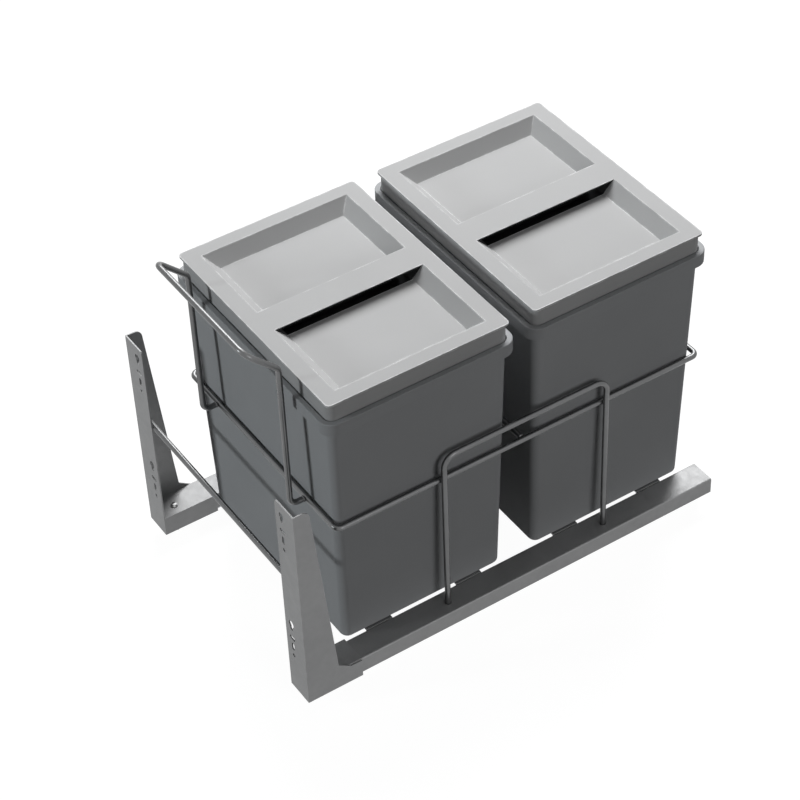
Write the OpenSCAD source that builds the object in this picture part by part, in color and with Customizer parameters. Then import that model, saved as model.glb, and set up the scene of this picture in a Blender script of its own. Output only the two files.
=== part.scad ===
// Pull-out waste bin frame with two bins, for a base cabinet.
// Millimetres, +Z up. X is across the cabinet, -Y is the door side and
// the way the frame pulls out, Z = 0 is the cabinet floor.
// The origin is on the floor, under the middle of the whole frame.

/* [Bins] */
// Width of a bin outside its wall, just under the rim
bin_w = 271.6; // [200:1:360]
// Depth of a bin outside its wall, just under the rim
bin_d = 201; // [150:1:300]
// Height of a bin from its underside to the top of its rim
bin_h = 305; // [220:1:420]
// Wall thickness of the bins and of their rims
bin_wall = 2; // [1.5:0.1:3]
// How much narrower each side of a bin is at the bottom
bin_draft_x = 8.6; // [4:0.2:12]
// How much shallower the front and the back of a bin are at the bottom
bin_draft_y = 5; // [3:0.2:12]
// Radius of the upright corners of a bin under the rim
bin_corner_r = 8; // [6:0.5:16]
// Radius of the edge round the underside of a bin
bin_foot_r = 4.5; // [4:0.5:9]
// How far the rim stands proud of the wall
rim_out = 7.5; // [7:0.1:10]
// Height of the rim band
rim_h = 14.5; // [12:0.5:24]
// Width of the flat ledge on top of the rim
rim_ledge = 5.8; // [4.5:0.1:6]
// Depth of the shelf that the lid stands on, below the ledge
lid_seat = 6; // [4:0.5:9]
// Gap between the rims of the two bins
bin_gap = 16; // [10:1:40]

/* [Lids] */
// Clearance between the lid's skirt and the rim, all round
lid_clear = 1.2; // [0.4:0.1:1.6]
// How far the lid's top stands proud of its skirt
lid_proud = 1.2; // [0:0.1:1.6]
// Radius of the upright corners of the lid's top
lid_r = 4.5; // [3:0.5:7]
// Height of the lid's top over the ledge of the rim
lid_rise = 20.3; // [14:0.1:30]
// Thickness of the lid's top and of its pockets
lid_wall = 2.2; // [1.6:0.1:3]
// Thickness of the skirt under the lid's top
skirt_wall = 2; // [1.5:0.1:3]
// Width of the border round the pockets, at the sides
lid_border_x = 15.6; // [12:0.1:24]
// Width of the border round the pockets, front and back
lid_border_y = 17.8; // [12:0.1:26]
// Depth of the two pockets in the lid
pocket_depth = 13; // [8:0.5:16]
// How far a pocket's wall slopes in from the top to the floor
pocket_slope = 13; // [6:0.5:18]
// Width of the grip bar between the pockets
grip_w = 32; // [24:0.5:44]
// Thickness of the grip bar
grip_t = 2; // [1.8:0.1:4]
// Depth of the finger hollow under the grip bar, below the pocket floors
hollow_depth = 24; // [6:0.5:40]

/* [Wire frame] */
// Diameter of the bent wires
wire_d = 6; // [5:0.5:8]
// Height of the ring wire over the lower edge of the rails
ring_z = 187.6; // [120:1:240]
// Gap between the ring wire and the bins at its height, in front and at the back
ring_gap_y = 0.5; // [0.3:0.1:6]
// Gap between the ring wire and the bins at its height, at the sides
ring_gap = 3.3; // [1.5:0.1:8]
// Bend radius of the ring's corners, on the wire's centre
ring_r = 6.5; // [5:0.5:20]
// Height of the side loops over the lower edge of the rails
loop_z = 219.9; // [200:1:300]
// Distance between the two legs of a side loop
loop_span = 196; // [120:2:300]
// Bend radius of the side loops
loop_r = 14; // [9:1:30]
// Distance between the two legs of the handle
handle_w = 166.8; // [100:1:220]
// How far the handle's legs stand in front of the ring
handle_out = 18.1; // [13:0.1:25]
// Length of the upright part of the handle's legs, over the ring
handle_rise = 174.6; // [120:1:240]
// Length of the tilted top part of the handle
handle_top = 45.6; // [34:0.5:70]
// Tilt of the handle's top part towards the door
handle_tilt = 46; // [20:1:60]
// Bend radius of the handle's legs
handle_r = 9; // [8:0.5:11]
// Bend radius of the handle's two top corners
handle_top_r = 12; // [9:0.5:20]

/* [Rails] */
// Width of a rail
rail_w = 30; // [28:0.5:40]
// Height of a rail
rail_h = 19; // [18:0.5:28]
// Sheet thickness of the rails
rail_t = 1.2; // [1:0.1:1.6]
// Height of the rails' lower edges over the cabinet floor
rail_lift = 17; // [17:0.5:26]
// Distance from the door plane to the front bin's rim
door_gap = 52; // [46:1:80]
// Length of the rails behind the rear bin's rim
rail_behind = 8; // [4:0.5:30]
// Width of a cross bar under the bins
bar_w = 31; // [20:1:50]
// Thickness of a cross bar
bar_t = 2; // [1.5:0.5:3]
// Distance between the two cross bars under one bin
bar_span = 109.4; // [80:1:140]
// How far the cross bars lie below the tops of the rails
bar_drop = 0.2; // [0:0.1:2]

/* [Door brackets] */
// Sheet thickness of the door brackets
bracket_t = 1.5; // [1.2:0.1:2.5]
// Height of the door brackets
bracket_h = 256.4; // [230:1:320]
// How far the brackets hang below the lower edges of the rails
bracket_low = 3; // [0:0.5:6]
// Depth of the side flange at its top
flange_top = 18; // [12:0.5:28]
// Depth of the side flange just over the foot
flange_foot = 37; // [25:0.5:45]
// Length of the bracket's foot along the rail
foot_len = 64; // [56:1:80]
// Height of the upper group's keyhole over the lower edge of the rails
upper_key_z = 239; // [200:1:240]
// Distance between the upper and the lower group of holes
group_pitch = 147; // [120:1:165]
// Distance of the holes from the bracket's inner edge
hole_inset = 11; // [9:0.5:20]
// Width of the slots for the door screws
slot_w = 4.5; // [3.5:0.1:6]
// Length of the slots for the door screws
slot_len = 10; // [7:0.5:12]
// Diameter of a keyhole's wide end
key_d = 8.5; // [7:0.1:10]
// Diameter of the tie rod between the brackets
rod_d = 6; // [5:0.5:10]
// Height of the tie rod over the lower edge of the rails
rod_z = 150; // [110:1:180]

/* [Runners] */
// How far the frame pulls out
travel = 450; // [300:5:450]
// Height of the runners
slide_h = 27; // [26.6:0.1:28]
// Distance from the door plane to the runners' front ends
slide_front = 30; // [28:1:40]
// Distance from the runners' closed rear ends to the rails' rear ends
slide_rear = 8; // [6:0.5:20]
// Sheet thickness of the feet and hangers of the runners
foot_t = 1.5; // [1.2:0.1:2]
// Width of a runner foot along the runner
foot_w = 34; // [24:1:40]
// Reach of a runner foot over the cabinet floor
foot_reach = 24; // [20:0.5:26]
// Diameter of the floor screw holes
floor_hole_d = 5; // [4:0.1:6]
// Distance from the front floor screws to the middle ones
foot_pitch_1 = 135; // [90:5:150]
// Distance from the middle floor screws to the rear ones
foot_pitch_2 = 200; // [150:5:210]
// Distance from the door plane to the front floor screws
foot_first = 115; // [100:1:125]
// Distance between the balls in a cage
ball_pitch = 30; // [20:1:40]

/* [Hidden] */
$fn = 48;
sides = [-1, 1];
wire_r = wire_d / 2;

function hundredth(x) = round(x * 100) / 100;

// Heights, all over the cabinet floor
rail_z0 = rail_lift;
rail_z1 = rail_lift + rail_h;
bar_z1 = rail_z1 - bar_drop;
bin_z0 = bar_z1;
rim_z1 = bin_z0 + bin_h;
rim_z0 = rim_z1 - rim_h;
seat_z = rim_z1 - lid_seat;
lid_z1 = rim_z1 + lid_rise;
lid_z0 = lid_z1 - lid_wall;
ring_zc = rail_lift + ring_z;
loop_zc = rail_lift + loop_z;
bend_zc = ring_zc + handle_rise;
bracket_z0 = rail_lift - bracket_low;
bracket_z1 = bracket_z0 + bracket_h;

// Outlines of bin, rim, mouth and lid
rim_w = bin_w + 2 * rim_out;
rim_d = bin_d + 2 * rim_out;
rim_r = bin_corner_r + rim_out;
mouth_w = rim_w - 2 * rim_ledge;
mouth_d = rim_d - 2 * rim_ledge;
mouth_r = rim_r - rim_ledge;
skirt_w = mouth_w - 2 * lid_clear;
skirt_d = mouth_d - 2 * lid_clear;
skirt_r = mouth_r - lid_clear;
lid_w = skirt_w + 2 * lid_proud;
lid_d = skirt_d + 2 * lid_proud;
hollow_slope = 4;
base_r = bin_corner_r + 1;
foot_turn = 0.3;

// Places along the depth, from the door plane back
door_y = -(door_gap + 2 * rim_d + bin_gap + rail_behind) / 2;
front_bin_y = door_y + door_gap + rim_d / 2;
rear_bin_y = front_bin_y + rim_d + bin_gap;
mid_y = (front_bin_y + rear_bin_y) / 2;
rail_y0 = door_y + bracket_t;
rail_y1 = rear_bin_y + rim_d / 2 + rail_behind;

// Half sizes of a bin at the height of the ring
ring_share = (ring_zc - bin_z0) / (rim_z0 - bin_z0);
bin_ring_x = hundredth(bin_w / 2 - bin_draft_x * (1 - ring_share));
bin_ring_y = hundredth(bin_d / 2 - bin_draft_y * (1 - ring_share));
ring_x = bin_ring_x + ring_gap + wire_r;
ring_y0 = front_bin_y - bin_ring_y - ring_gap_y - wire_r;
ring_y1 = rear_bin_y + bin_ring_y + ring_gap_y + wire_r;

// The side loops stand outside the ring, on the rails
weld = 0.3;
loop_x = ring_x + wire_d - weld;
loop_off = 0.7;
rail_x = loop_x - loop_off;
rail_in = rail_x - rail_w / 2;
rail_out = rail_x + rail_w / 2;
bracket_in = rail_in - bracket_t;
bracket_out = rail_out + bracket_t;
loop_hole_d = wire_d + 1.2;
rail_round = 0.6;
leg_z0 = rail_z1 - rail_t;

bar_tab_rise = 5;

// Handle
handle_x = handle_w / 2;
handle_y = ring_y0 - handle_out;
tilt_cut = hundredth(handle_r * tan(handle_tilt / 2));
tilt_lap = 0.5;
tilt_slim = 0.04;

// Holes in the door brackets, from the keyhole down
hole_x = bracket_in + hole_inset;
key_drop = 6.5;
cross_slot_drop = 20;
long_slot_drop = 32.2;
round_drop = 44.8;
flare_top = 28.5;
flare_y = 51.5;
foot_strip_gap = 0.5;

// The tie rod is welded to the backs of the front flanges
rod_y = door_y + bracket_t + rod_d / 2 - weld;

// Clamp screw of a bracket
screw_d = 4;
screw_play = 0.4;
screw_head_d = 8;
screw_head_h = 2.7;
screw_in = 19.5;
screw_aside = 4;
screw_dome_h = 1.7;
screw_slim = 0.05;
cross_len = 4.4;
cross_w = 1;
cross_depth = 1.5;
screw_y = door_y + screw_in;
screw_x = rail_x - screw_aside;
screw_tip_z = 2;
nut_w = 7;
nut_h = 3.2;
plate_z0 = rail_z1;
plate_z1 = rail_z1 + bracket_t;

// Runner section. u runs from the middle of the rail towards the side wall,
// v runs from the middle of the runner's height.
slide_y0 = door_y + slide_front;
slide_y1 = rail_y1 - slide_rear;
slide_len = slide_y1 - slide_y0;
slide_drop = 2.3;
slide_zc = rail_z1 - rail_t - slide_drop - slide_h / 2;
sheet = 1;
run = 0.1;
track_gap = 0.4;
mid_flange = 3;
inner_flange = 1.9;
ball_u = -0.5;
ball_1_r = 1.4;
ball_2_r = 1.2;
ball_1_v = slide_h / 2 - sheet - run - ball_1_r;
mid_top = ball_1_v - track_gap;
mid_bot = mid_top - mid_flange;
ball_2_v = mid_bot - track_gap;
inner_top = ball_2_v - track_gap;
inner_bot = inner_top - inner_flange;
outer_web = -5.5;
mid_web = -3.9;
lip_u = 2.1;
inner_tip = -2.3;
inner_web = 5;
cage_t = 0.3;
cage_gap = 0.15;
cage_edge = 0.7;
cage_end = 6;
buffer_len = 5;
buffer_gap = 0.5;
buffer_inset = 3;
stop_len = 2.5;
stop_h = 6;
stop_t = 0.4;
cage_len = slide_len - travel / 2 - 2 * stop_len;
cage_y0 = slide_y0 + travel / 4 + stop_len;
ball_count = floor((cage_len - 2 * cage_end) / ball_pitch) + 1;
foot_y0 = door_y + foot_first;
foot_ys = [foot_y0, foot_y0 + foot_pitch_1, foot_y0 + foot_pitch_1 + foot_pitch_2];
foot_u = outer_web - foot_t;
foot_hole_out = 1;
floor_hole_x = rail_x + foot_u - foot_reach / 2 - foot_hole_out;
foot_web_drop = 4;
rivet_d = 4;
rivet_head_d = 7;
rivet_head_h = 1.2;
hanger_u = inner_web + foot_t;
rivet_inset = 40;
hanger_ys = [slide_y0 + rivet_inset, (slide_y0 + slide_y1) / 2, slide_y1 - rivet_inset];

// Colours as seen
paint = [0.53, 0.54, 0.54];
bare_steel = [0.66, 0.67, 0.68];
dark_plastic = [0.36, 0.38, 0.39];
light_plastic = [0.77, 0.78, 0.78];
rubber = [0.1, 0.1, 0.1];

// Rectangle with round corners, centred
module round_rect(w, d, r) {
    square([w - 2 * r, d], center = true);
    square([w, d - 2 * r], center = true);
    for (sx = sides, sy = sides)
        translate([sx * (w / 2 - r), sy * (d / 2 - r)]) circle(r);
}

// Slab with that outline, from height z0 to z1
module slab(w, d, r, z0, z1) {
    translate([0, 0, z0]) linear_extrude(z1 - z0) round_rect(w, d, r);
}

// Straight length of wire from one point along X, Y or Z
module wire_x(x0, x1, y, z, d = wire_d) {
    translate([x0, y, z]) rotate([0, 90, 0]) cylinder(d = d, h = x1 - x0);
}

module wire_y(x, y0, y1, z, d = wire_d) {
    translate([x, y0, z]) rotate([-90, 0, 0]) cylinder(d = d, h = y1 - y0);
}

module wire_z(x, y, z0, z1, d = wire_d) {
    translate([x, y, z0]) cylinder(d = d, h = z1 - z0);
}

// Bend in the XY plane round the origin, from the angle a0 over a turn
module bend(r, a0, turn, d = wire_d) {
    rotate([0, 0, a0]) rotate_extrude(angle = turn) translate([r, 0]) circle(d = d);
}

// Runner profile drawn in (u, v), extruded along Y on one side of the frame.
// The drawing's first axis is u, which points to the side wall.
module along(side, y0, y1) {
    mirror([side < 0 ? 1 : 0, 0, 0]) translate([rail_x, y1, slide_zc])
        rotate([90, 0, 0]) linear_extrude(y1 - y0) children();
}

// Both halves of a runner profile, above and below the middle
module both_halves() {
    children();
    mirror([0, 1]) children();
}

// Flat piece in (u, v) from corner to corner
module bar2(u0, u1, v0, v1) {
    translate([u0, v0]) square([u1 - u0, v1 - v0]);
}

// Fixed runner members and their feet

module outer_profile() {
    bar2(outer_web, outer_web + sheet, -slide_h / 2, slide_h / 2);
    both_halves() difference() {
        bar2(outer_web, lip_u, ball_1_v + track_gap, slide_h / 2);
        translate([ball_u, ball_1_v]) circle(ball_1_r + run);
    }
}

// Low tab pressed out of a web's face at u, which stops a cage
module stop_tab(u) {
    bar2(u - stop_t, u + stop_t, -stop_h / 2, stop_h / 2);
}

module rivet_holes(side, ys, u0, u1) {
    for (y = ys) translate([side * (rail_x + u0), y, slide_zc])
        rotate([0, side * 90, 0]) cylinder(d = rivet_d, h = u1 - u0);
}

module outer_member(side) {
    color(bare_steel) difference() {
        union() {
            along(side, slide_y0, slide_y1 + buffer_len) outer_profile();
            along(side, slide_y0, slide_y0 + stop_len) stop_tab(outer_web + sheet);
        }
        rivet_holes(side, foot_ys, outer_web - 1, outer_web + sheet + 1);
    }
}

module runner_feet(side) {
    color(paint) mirror([side < 0 ? 1 : 0, 0, 0]) for (y = foot_ys) difference() {
        union() {
            translate([rail_x + foot_u - foot_reach, y - foot_w / 2, 0])
                cube([foot_reach + foot_t, foot_w, foot_t]);
            translate([rail_x + foot_u, y - foot_w / 2, 0])
                cube([foot_t, foot_w, slide_zc + slide_h / 2 - foot_web_drop]);
        }
        translate([floor_hole_x, y, -1]) cylinder(d = floor_hole_d, h = foot_t + 2);
        rivet_holes(1, [y], foot_u - 1, outer_web + 1);
    }
}

// Rivet whose head is outside the sheet and whose shank ends flush inside
module rivet(side, y, u_head, u_end, dir) {
    translate([side * (rail_x + u_head), y, slide_zc]) rotate([0, side * dir * 90, 0]) {
        cylinder(d = rivet_d, h = abs(u_end - u_head));
        mirror([0, 0, 1]) cylinder(d1 = rivet_head_d, d2 = rivet_head_d - 1.6, h = rivet_head_h);
    }
}

module foot_rivets() {
    color(bare_steel) for (side = sides, y = foot_ys)
        rivet(side, y, foot_u, outer_web + sheet, 1);
}

// Rubber block behind each closed runner
module rear_buffers() {
    color(rubber) for (side = sides)
        along(side, slide_y1 + buffer_gap, slide_y1 + buffer_len)
            bar2(outer_web + sheet, lip_u, -ball_1_v + buffer_inset, ball_1_v - buffer_inset);
}

// Middle members

module middle_profile() {
    bar2(mid_web, mid_web + sheet, -mid_top, mid_top);
    both_halves() difference() {
        bar2(mid_web, lip_u, mid_bot, mid_top);
        translate([ball_u, ball_1_v]) circle(ball_1_r + run);
        translate([ball_u, ball_2_v]) circle(ball_2_r + run);
    }
}

module middle_member(side) {
    color(bare_steel) {
        along(side, slide_y0, slide_y1) middle_profile();
        along(side, slide_y0, slide_y0 + stop_len) stop_tab(mid_web + sheet);
        along(side, slide_y1 - stop_len, slide_y1) stop_tab(mid_web);
    }
}

// Ball cages: a thin channel with a pocket for each ball

module cage(side, v, ball_r, u0, u1) {
    difference() {
        along(side, cage_y0, cage_y0 + cage_len) {
            bar2(u0, u0 + cage_t, -v - cage_t / 2, v + cage_t / 2);
            both_halves() bar2(u0, u1, v - cage_t / 2, v + cage_t / 2);
        }
        for (i = [0:ball_count - 1], s = sides)
            translate([side * (rail_x + ball_u), ball_y(i), slide_zc + s * v])
                cylinder(r = ball_r + run, h = 1, center = true);
    }
}

function ball_y(i) = cage_y0 + (cage_len - (ball_count - 1) * ball_pitch) / 2 + i * ball_pitch;

module balls(side, v, r) {
    for (i = [0:ball_count - 1], s = sides)
        translate([side * (rail_x + ball_u), ball_y(i), slide_zc + s * v]) sphere(r);
}

module outer_cage(side) {
    color(dark_plastic) cage(side, ball_1_v, ball_1_r, outer_web + sheet + cage_gap, lip_u - cage_edge);
}

module inner_cage(side) {
    color(dark_plastic) cage(side, ball_2_v, ball_2_r, mid_web + sheet + cage_gap, lip_u - cage_edge);
}

module outer_balls(side) {
    color(bare_steel) balls(side, ball_1_v, ball_1_r);
}

module inner_balls(side) {
    color(bare_steel) balls(side, ball_2_v, ball_2_r);
}

// Inner members and the hangers that join them to the rails

module inner_profile() {
    bar2(inner_web - sheet, inner_web, -inner_top, inner_top);
    both_halves() difference() {
        bar2(inner_tip, inner_web, inner_bot, inner_top);
        translate([ball_u, ball_2_v]) circle(ball_2_r + run);
    }
}

module inner_member(side) {
    color(bare_steel) difference() {
        union() {
            along(side, slide_y0, slide_y1) inner_profile();
            along(side, slide_y1 - stop_len, slide_y1)
                bar2(inner_tip - stop_t / 2, inner_tip + sheet, -inner_top, inner_top);
        }
        rivet_holes(side, hanger_ys, inner_web - sheet - 1, inner_web + 1);
    }
}

module hanger(side) {
    top_v = rail_z1 - rail_t - slide_zc;
    half_span = rail_w / 2 - rail_t - rail_round;
    color(paint) difference() {
        along(side, slide_y0, slide_y1) {
            bar2(inner_web, hanger_u, -slide_h / 2 + foot_web_drop, top_v);
            bar2(-half_span, half_span, top_v - foot_t, top_v);
        }
        rivet_holes(side, hanger_ys, inner_web - 1, hanger_u + 1);
    }
}

module hanger_rivets() {
    color(bare_steel) for (side = sides, y = hanger_ys)
        rivet(side, y, hanger_u, inner_web - sheet, -1);
}

// Rails: channels open downwards that cover the runners

module rail_profile() {
    difference() {
        translate([-rail_w / 2, rail_z0]) rail_outline(rail_w, rail_h, rail_t + rail_round);
        translate([-rail_w / 2 + rail_t, rail_z0 - 1])
            rail_outline(rail_w - 2 * rail_t, rail_h - rail_t + 1, rail_round);
    }
}

// Rectangle whose two upper corners are round
module rail_outline(w, h, r) {
    square([w, h - r]);
    translate([r, 0]) square([w - 2 * r, h]);
    for (x = [r, w - r]) translate([x, h - r]) circle(r);
}

module rail(side) {
    color(paint) difference() {
        translate([side * rail_x, rail_y1, 0]) rotate([90, 0, 0])
            linear_extrude(rail_y1 - rail_y0) rail_profile();
        for (s = sides) translate([side * loop_x, mid_y + s * loop_span / 2, rail_z1 - rail_t - 1])
            cylinder(d = loop_hole_d, h = rail_t + 2);
        translate([side * screw_x, screw_y, rail_z1 - rail_t - 1])
            cylinder(d = screw_d + screw_play, h = rail_t + 2);
    }
}

// Cross bars under the bins, with a tab turned down at each rail
module cross_bar(y) {
    tab_h = rail_h - bar_drop - bar_tab_rise;
    color(paint) {
        translate([-rail_in, y - bar_w / 2, bar_z1 - bar_t]) cube([2 * rail_in, bar_w, bar_t]);
        for (x = [-rail_in, rail_in - bar_t])
            translate([x, y - bar_w / 2, bar_z1 - tab_h]) cube([bar_t, bar_w, tab_h]);
    }
}

function bar_y(i) = (i < 2 ? front_bin_y : rear_bin_y) + (i % 2 == 0 ? -1 : 1) * bar_span / 2;

// Door brackets

// Points along an arc round (cx, cy)
function arc(cx, cy, r, a0, a1, n = 8) =
    [for (i = [0:n]) [cx + r * cos(a0 + (a1 - a0) * i / n), cy + r * sin(a0 + (a1 - a0) * i / n)]];

// Side flange outline in (y, z): slim at the top, flared into the foot
module side_flange() {
    r = 9;
    polygon(concat(
        [[0, bracket_z0], [foot_len, bracket_z0], [foot_len, rail_z1 - foot_strip_gap]],
        [[flare_y, rail_z1 - foot_strip_gap], [flange_foot, rail_z0 + flare_top]],
        arc(flange_top - r, bracket_z1 - r, r, 0, 90),
        [[0, bracket_z1]]));
}

// Front flange outline in (x, z) for the right side
module front_flange() {
    r = 3;
    polygon(concat(
        [[bracket_in, bracket_z0], [bracket_out, bracket_z0], [bracket_out, bracket_z1]],
        arc(bracket_in + r, bracket_z1 - r, r, 90, 180)));
}

// One group of door screw holes in (x, z), its keyhole at height z
module hole_group(z) {
    translate([hole_x, z]) circle(d = key_d);
    hull() {
        translate([hole_x, z]) circle(d = slot_w);
        translate([hole_x, z - key_drop]) circle(d = slot_w);
    }
    cross_slot(z - cross_slot_drop);
    long_slot(z - long_slot_drop);
    translate([hole_x, z - round_drop]) circle(d = slot_w);
}

// Slot that runs across the bracket
module cross_slot(z) {
    reach = (slot_len - slot_w) / 2;
    translate([hole_x - reach, z - slot_w / 2]) square([2 * reach, slot_w]);
    for (s = sides) translate([hole_x + s * reach, z]) circle(d = slot_w);
}

// Slot that runs up the bracket
module long_slot(z) {
    reach = (slot_len - slot_w) / 2;
    translate([hole_x - slot_w / 2, z - reach]) square([slot_w, 2 * reach]);
    for (s = sides) translate([hole_x, z + s * reach]) circle(d = slot_w);
}

module door_bracket(side) {
    color(paint) mirror([side < 0 ? 1 : 0, 0, 0]) translate([0, door_y, 0]) difference() {
        union() {
            translate([0, bracket_t, 0]) rotate([90, 0, 0]) linear_extrude(bracket_t) difference() {
                front_flange();
                hole_group(rail_lift + upper_key_z);
                hole_group(rail_lift + upper_key_z - group_pitch);
            }
            translate([rail_out, 0, 0]) rotate([90, 0, 90]) linear_extrude(bracket_t) side_flange();
            translate([bracket_in, 0, plate_z0])
                cube([bracket_out - bracket_in - bracket_t, foot_len, bracket_t]);
            translate([bracket_in, 0, bracket_z0])
                cube([bracket_t, foot_len, plate_z1 - bracket_z0]);
        }
        translate([screw_x, screw_in, plate_z0 - 1])
            cylinder(d = screw_d + screw_play, h = bracket_t + 2);
    }
}

// Clamp screws: domed head with a cross recess
module bracket_screws() {
    dome_r = (pow(screw_head_d / 2, 2) + pow(screw_dome_h, 2)) / (2 * screw_dome_h);
    color(bare_steel) for (side = sides) translate([side * screw_x, screw_y, plate_z1]) difference() {
        union() {
            cylinder(d = screw_head_d, h = screw_head_h - screw_dome_h);
            translate([0, 0, screw_head_h - dome_r]) intersection() {
                sphere(dome_r);
                translate([0, 0, dome_r - screw_dome_h]) cylinder(d = screw_head_d, h = 2 * screw_dome_h);
            }
            translate([0, 0, screw_tip_z - plate_z1])
                cylinder(d = screw_d - screw_slim, h = plate_z1 - screw_tip_z);
        }
        for (a = [45, 135]) rotate([0, 0, a])
            translate([-cross_len / 2, -cross_w / 2, screw_head_h - cross_depth])
                cube([cross_len, cross_w, 2 * cross_depth]);
    }
}

module bracket_nuts() {
    color(bare_steel) for (side = sides)
        translate([side * screw_x, screw_y, rail_z1 - rail_t - nut_h]) difference() {
            cylinder(d = nut_w / cos(30), h = nut_h, $fn = 6);
            translate([0, 0, -1]) cylinder(d = screw_d, h = nut_h + 2);
        }
}

module tie_rod() {
    color(paint) wire_x(-rail_out, rail_out, rod_y, rail_lift + rod_z, rod_d);
}

// Wires

module ring_wire() {
    color(paint) {
        for (s = sides) wire_y(s * ring_x, ring_y0 + ring_r, ring_y1 - ring_r, ring_zc);
        for (y = [ring_y0, ring_y1]) wire_x(-ring_x + ring_r, ring_x - ring_r, y, ring_zc);
        translate([ring_x - ring_r, ring_y1 - ring_r, ring_zc]) bend(ring_r, 0, 90);
        translate([-ring_x + ring_r, ring_y1 - ring_r, ring_zc]) bend(ring_r, 90, 90);
        translate([-ring_x + ring_r, ring_y0 + ring_r, ring_zc]) bend(ring_r, 180, 90);
        translate([ring_x - ring_r, ring_y0 + ring_r, ring_zc]) bend(ring_r, 270, 90);
    }
}

module divider_wire() {
    reach = ring_x - wire_r + weld;
    color(paint) wire_x(-reach, reach, mid_y, ring_zc);
}

module side_loop(side) {
    y0 = mid_y - loop_span / 2;
    y1 = mid_y + loop_span / 2;
    color(paint) {
        for (y = [y0, y1]) wire_z(side * loop_x, y, leg_z0, loop_zc - loop_r);
        wire_y(side * loop_x, y0 + loop_r, y1 - loop_r, loop_zc);
        translate([side * loop_x, y0 + loop_r, loop_zc - loop_r])
            rotate([90, 0, 90]) bend(loop_r, 90, 90);
        translate([side * loop_x, y1 - loop_r, loop_zc - loop_r])
            rotate([90, 0, 90]) bend(loop_r, 0, 90);
    }
}

// Handle: two legs butted to the ring, bent up, then tilted to the door.
// The tilted part starts a little inside the bends and is that much slimmer.
module handle() {
    leg_top = bend_zc - tilt_cut;
    color(paint) {
        for (s = sides) translate([s * handle_x, 0, 0]) {
            wire_y(0, handle_y + handle_r, ring_y0 - wire_r + weld, ring_zc);
            translate([0, handle_y + handle_r, ring_zc + handle_r])
                rotate([90, 0, 90]) bend(handle_r, 180, 90);
            wire_z(0, handle_y, ring_zc + handle_r, leg_top);
            translate([0, handle_y - handle_r, leg_top])
                rotate([90, 0, 90]) bend(handle_r, 0, handle_tilt);
        }
        translate([0, handle_y - handle_r, leg_top]) rotate([handle_tilt, 0, 0])
            translate([0, handle_r, 0]) grip(handle_top - tilt_cut);
    }
}

// Tilted part of the handle, upright, h high to the wire's centre
module grip(h) {
    d = wire_d - tilt_slim;
    x = handle_x - handle_top_r;
    for (s = sides) wire_z(s * handle_x, 0, -tilt_lap, h - handle_top_r, d);
    wire_x(-x, x, 0, h, d);
    translate([x, 0, h - handle_top_r]) rotate([90, 0, 0]) bend(handle_top_r, 0, 90, d);
    translate([-x, 0, h - handle_top_r]) rotate([90, 0, 0]) bend(handle_top_r, 90, 90, d);
}

// Bins

// Tapered tub up to the rim: its outer face moved in by t, its underside raised by t.
// The edge round the underside is round, drawn as two slopes.
module tub(t) {
    low_w = bin_w - 2 * t - 2 * bin_draft_x;
    low_d = bin_d - 2 * t - 2 * bin_draft_y;
    low_r = base_r - t;
    turn_in = foot_turn * bin_foot_r;
    turn_up = t + foot_turn * (bin_foot_r - t);
    thin = 0.01;
    hull() {
        slab(bin_w - 2 * t, bin_d - 2 * t, bin_corner_r - t, rim_z0 - thin, rim_z0);
        slab(low_w, low_d, low_r, bin_z0 + bin_foot_r, bin_z0 + bin_foot_r + thin);
        slab(low_w - 2 * turn_in, low_d - 2 * turn_in, low_r, bin_z0 + turn_up, bin_z0 + turn_up + thin);
        slab(low_w - 2 * bin_foot_r, low_d - 2 * bin_foot_r, low_r, bin_z0 + t, bin_z0 + t + thin);
    }
}

module bin_shell() {
    difference() {
        tub(0);
        tub(bin_wall);
        slab(bin_w - 2 * bin_wall, bin_d - 2 * bin_wall, bin_corner_r - bin_wall, rim_z0 - 0.02, rim_z0 + 1);
    }
    difference() {
        union() {
            slab(bin_w, bin_d, bin_corner_r, rim_z0 - 0.01, seat_z);
            slab(mouth_w + 2 * bin_wall, mouth_d + 2 * bin_wall, mouth_r + bin_wall, seat_z - bin_wall, rim_z1);
            slab(rim_w, rim_d, rim_r, rim_z1 - bin_wall, rim_z1);
        }
        slab(bin_w - 2 * bin_wall, bin_d - 2 * bin_wall, bin_corner_r - bin_wall, rim_z0 - 1, rim_z1 + 1);
        slab(mouth_w, mouth_d, mouth_r, seat_z, rim_z1 + 1);
    }
    difference() {
        slab(rim_w, rim_d, rim_r, rim_z0, rim_z1);
        slab(rim_w - 2 * bin_wall, rim_d - 2 * bin_wall, rim_r - bin_wall, rim_z0 - 1, rim_z1 + 1);
    }
}

module front_bin() {
    color(dark_plastic) translate([0, front_bin_y, 0]) bin_shell();
}

module rear_bin() {
    color(dark_plastic) translate([0, rear_bin_y, 0]) bin_shell();
}

// Lids: a top with two pockets, a grip bar between them and a skirt

// Hollow of one pocket, grown outwards by g, or the form round it
module pocket(s, g) {
    x0 = grip_w / 2 - g;
    x1 = lid_w / 2 - lid_border_x + g;
    y1 = lid_d / 2 - lid_border_y + g;
    z1 = lid_z1 + (g > 0 ? -lid_wall / 2 : 0.01);
    z0 = lid_z1 - pocket_depth - g;
    thin = 0.01;
    mirror([s < 0 ? 1 : 0, 0, 0]) hull() {
        translate([x0, -y1, z1]) cube([x1 - x0, 2 * y1, thin]);
        translate([x0, -y1 + pocket_slope, z0])
            cube([x1 - x0 - pocket_slope, 2 * (y1 - pocket_slope), thin]);
    }
}

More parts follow.
